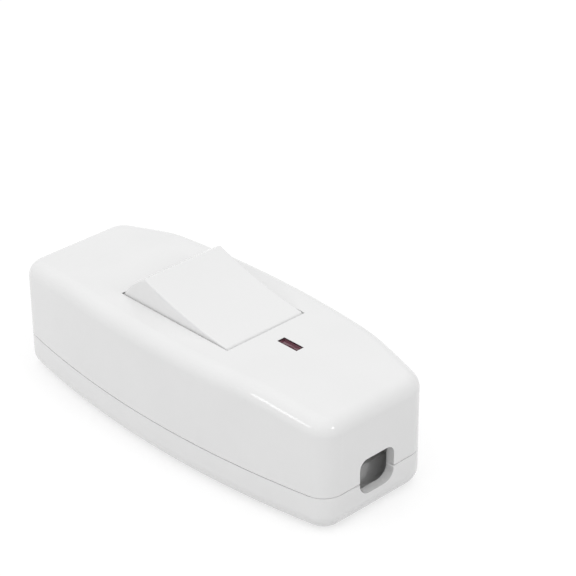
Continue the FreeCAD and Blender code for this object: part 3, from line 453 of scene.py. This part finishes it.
# In millimetres and degrees, measured from the pivot before the key is tilted
KEY_RADIUS = 18.95
KEY_REACH = 12.4
KEY_WIDTH = 20.6
KEY_DISH = 0.75
KEY_WALL = 1.8
KEY_END_ROUND = 0.6
KEY_RIM = 0.35
KEY_SKIRT_ANGLE = 14.0
KEY_FOOT = 2.7
KEY_HEIGHT = math.sqrt(KEY_RADIUS ** 2 - KEY_REACH ** 2)
KEY_CEILING = KEY_HEIGHT - KEY_DISH - KEY_WALL
BOSS_RADIUS = 3.2
BOSS_WIDTH = 20.86
TRUNNION_RADIUS = 2.0
TRUNNION_WIDTH = 25.1
SLEEVE_Y = 6.2
SLEEVE_RADIUS = 2.2
SLEEVE_BORE = 1.55
SLEEVE_LOW = -3.0
SLEEVE_BORE_TOP = 9.4
SLEEVE_ROOT = 0.45
# Where the pivot lies in the switch, and how far the key is tilted about it at rest
KEY_TILT = 13.8
PIVOT = (-0.75, 0.0, 16.7)
# How far a cut goes past the face that it opens, and how near two points are when they count as one
CUT_SPARE = 1.0
SAME_POINT = 0.01
# Into how many chords each curve of the outlines goes
END_STEPS = 28
ROUND_STEPS = 14
DISH_STEPS = 32
HOLLOW_STEPS = 24
BOSS_STEPS = 96


def key_blank():
    """The solid key about its own pivot: an outline of arcs, pulled out to its width, with soft rims."""
    dish_radius = (KEY_REACH ** 2 + KEY_DISH ** 2) / (2 * KEY_DISH)
    dish_z = KEY_HEIGHT - KEY_DISH + dish_radius
    inner = KEY_RADIUS - KEY_END_ROUND
    outer = dish_radius + KEY_END_ROUND
    round_z = (dish_z ** 2 + inner ** 2 - outer ** 2) / (2 * dish_z)
    round_x = math.sqrt(inner ** 2 - round_z ** 2)
    end_angle = math.degrees(math.atan2(round_z, round_x))
    lean = math.degrees(math.atan2(round_x, dish_z - round_z))
    skirt_x = KEY_RADIUS * math.cos(math.radians(KEY_SKIRT_ANGLE))
    skirt_z = KEY_RADIUS * math.sin(math.radians(KEY_SKIRT_ANGLE))
    blank = first_point("rocker_key", skirt_x, skirt_z)
    arc(0, 0, KEY_SKIRT_ANGLE - end_angle, END_STEPS)
    arc(round_x, round_z, end_angle - 90 - lean, ROUND_STEPS)
    arc(0, dish_z, 2 * lean, DISH_STEPS)
    arc(-round_x, round_z, end_angle - 90 - lean, ROUND_STEPS)
    arc(0, 0, KEY_SKIRT_ANGLE - end_angle, END_STEPS)
    run(skirt_x - BOSS_RADIUS, -KEY_FOOT - skirt_z)
    run(2 * BOSS_RADIUS, 0)
    run(skirt_x - BOSS_RADIUS, KEY_FOOT + skirt_z)
    fill_and_pull(KEY_WIDTH)

    def on_side_rim(edge):
        ends = [vertex.co for vertex in edge.verts]
        level = abs(ends[0].y - ends[1].y) < SAME_POINT * MM
        return level and min(end.z for end in ends) > skirt_z * MM - 2 * SAME_POINT * MM

    bpy.ops.mesh.select_mode(type="EDGE")
    pick_edges(on_side_rim)
    bpy.ops.mesh.bevel(offset=KEY_RIM * MM, segments=6, profile=0.5, affect="EDGES")
    bpy.ops.object.mode_set(mode="OBJECT")
    return blank


def key_hollow():
    """What is open inside the key, from below."""
    inner = KEY_RADIUS - KEY_WALL
    turn = math.degrees(math.asin(KEY_CEILING / inner))
    low = BOSS_RADIUS + CUT_SPARE
    hollow = first_point("hollow", inner, -low)
    run(0, low)
    arc(0, 0, -turn, HOLLOW_STEPS)
    run(-2 * inner * math.cos(math.radians(turn)), 0)
    arc(0, 0, -turn, HOLLOW_STEPS)
    run(0, -low)
    run(2 * inner, 0)
    fill_and_pull(KEY_WIDTH - 2 * KEY_WALL)
    bpy.ops.object.mode_set(mode="OBJECT")
    return hollow


def rocker():
    """The whole rocker, hollow from below, on its trunnions and with a sleeve for each plunger."""
    key = key_blank()
    half_boss = BOSS_WIDTH / 2
    half_trunnion = TRUNNION_WIDTH / 2
    combine(key, "UNION", rod("boss", BOSS_RADIUS, (0, -half_boss, 0), (0, half_boss, 0), BOSS_STEPS))
    combine(key, "UNION", rod("trunnion", TRUNNION_RADIUS, (0, -half_trunnion, 0), (0, half_trunnion, 0)))
    combine(key, "DIFFERENCE", key_hollow())
    for y in (-SLEEVE_Y, SLEEVE_Y):
        root = KEY_CEILING + SLEEVE_ROOT
        combine(key, "UNION", rod("sleeve", SLEEVE_RADIUS, (0, y, SLEEVE_LOW), (0, y, root)))
        mouth = SLEEVE_LOW - CUT_SPARE
        combine(key, "DIFFERENCE", rod("bore", SLEEVE_BORE, (0, y, mouth), (0, y, SLEEVE_BORE_TOP)))
    key.rotation_euler = (0, math.radians(KEY_TILT), 0)
    key.location = Vector(PIVOT) * MM
    smooth(key, KEY_CREASE)
    finish_piece(key, "rocker")


rocker()


# Floor, backdrop and light

FLOOR_SIZE = 6.0
PAPER_GLOW = 0.6
# The light of the tent: an even level, and glows that each have a way, a narrowness and a strength
EVEN_LIGHT = 0.30
GLOWS = (
    ((0, 0, 1), 1, 0.76),
    ((0, 0, 1), 5, 0.24),
    ((0, -1, 0), 2, 0.36),
)


def looked_at(tree):
    """Gives 1 where the eye meets a thing straight, mirrored or through glass, and 0 for all other light."""
    ray = add_node(tree, "ShaderNodeLightPath").outputs
    straight = reckon(tree, "MAXIMUM", ray["Is Camera Ray"], ray["Is Glossy Ray"])
    return reckon(tree, "MAXIMUM", straight, ray["Is Transmission Ray"])


def paper_floor():
    """White seamless paper, matt. The eye sees it as plain white, and it keeps the soft shadow."""
    material = bpy.data.materials.new("seamless_paper")
    material.use_nodes = True
    tree = material.node_tree
    tree.nodes.clear()
    matt = add_node(tree, "ShaderNodeBsdfDiffuse", {"Color": linear("DCDCDC")}).outputs[0]
    shaded = add_node(tree, "ShaderNodeBsdfDiffuse", {"Color": linear("B4B4B4")}).outputs[0]
    glow = add_node(tree, "ShaderNodeEmission", {"Strength": PAPER_GLOW}).outputs[0]
    seen = add_node(tree, "ShaderNodeAddShader", links={0: shaded, 1: glow}).outputs[0]
    both = add_node(tree, "ShaderNodeMixShader", links={0: looked_at(tree), 1: matt, 2: seen}).outputs[0]
    add_node(tree, "ShaderNodeOutputMaterial", links={"Surface": both})
    return material


def glow_towards(tree, towards, way, power, strength):
    """Light that is strongest from one way, and fades to nothing at right angles to it."""
    facing = add_node(tree, "ShaderNodeVectorMath", {"operation": "DOT_PRODUCT", 1: way}, {0: towards})
    ahead = reckon(tree, "MAXIMUM", facing.outputs["Value"], 0.0)
    return reckon(tree, "MULTIPLY", reckon(tree, "POWER", ahead, power), strength)


def light_tent():
    """A tent of light round the switch, that the eye sees as plain white."""
    world = bpy.data.worlds.new("light_tent")
    bpy.context.scene.world = world
    world.use_nodes = True
    tree = world.node_tree
    tree.nodes.clear()
    towards = add_node(tree, "ShaderNodeTexCoord").outputs["Generated"]
    level = EVEN_LIGHT
    for glow in GLOWS:
        level = reckon(tree, "ADD", level, glow_towards(tree, towards, *glow))
    tent = add_node(tree, "ShaderNodeBackground", {"Color": WHITE}, {"Strength": level}).outputs[0]
    white = add_node(tree, "ShaderNodeBackground", {"Color": WHITE, "Strength": 1.0}).outputs[0]
    both = add_node(tree, "ShaderNodeMixShader", links={0: looked_at(tree), 1: tent, 2: white}).outputs[0]
    add_node(tree, "ShaderNodeOutputWorld", links={"Surface": both})


def direction(azimuth, elevation):
    """The way from the switch to a place at that azimuth and elevation, in degrees. Azimuth 0 is at -Y."""
    turn = math.radians(azimuth)
    rise = math.radians(elevation)
    return Vector((math.sin(turn) * math.cos(rise), -math.cos(turn) * math.cos(rise), math.sin(rise)))


def softbox(name, azimuth, elevation, distance, width, height, radiance, target):
    """A flat lamp, sized in metres, that faces a point of the switch given in millimetres."""
    lamp = bpy.data.lights.new(name, "AREA")
    lamp.shape = "RECTANGLE"
    lamp.size = width
    lamp.size_y = height
    lamp.energy = radiance * math.pi * width * height
    thing = bpy.data.objects.new(name, lamp)
    bpy.context.scene.collection.objects.link(thing)
    away = direction(azimuth, elevation)
    thing.location = Vector(target) * MM + away * distance
    thing.rotation_euler = away.to_track_quat("Z", "Y").to_euler()


bpy.ops.object.select_all(action="DESELECT")
bpy.ops.mesh.primitive_plane_add(size=FLOOR_SIZE)
floor = bpy.context.object
floor.name = "floor"
floor.data.materials.append(paper_floor())

light_tent()
softbox("front_softbox", azimuth=-17.3, elevation=21.3, distance=1.5, width=0.416, height=0.29,
        radiance=4.3, target=(35, -17.5, 24))
softbox("side_softbox", azimuth=94.0, elevation=30.0, distance=1.2, width=0.2, height=0.3,
        radiance=7.0, target=(45, -11, 24))


# Camera, at the photograph's angle

camera_azimuth = 46.37
camera_elevation = 29.438
camera_roll = -0.454
camera_distance = 447.96 * MM
camera_lens = 136.3
aim = Vector((4.86, 15.84, 26.94)) * MM

camera_data = bpy.data.cameras.new("camera")
camera = bpy.data.objects.new("camera", camera_data)
bpy.context.scene.collection.objects.link(camera)
bpy.context.scene.camera = camera
camera_data.lens = camera_lens
camera_data.sensor_width = 36.0
camera_data.clip_start = 0.01
camera.location = aim + direction(camera_azimuth, camera_elevation) * camera_distance
upright = Euler((math.radians(90 - camera_elevation), 0, math.radians(camera_azimuth))).to_matrix()
camera.rotation_euler = (upright @ Euler((0, 0, math.radians(camera_roll))).to_matrix()).to_euler()

bpy.context.scene.view_settings.view_transform = "Standard"
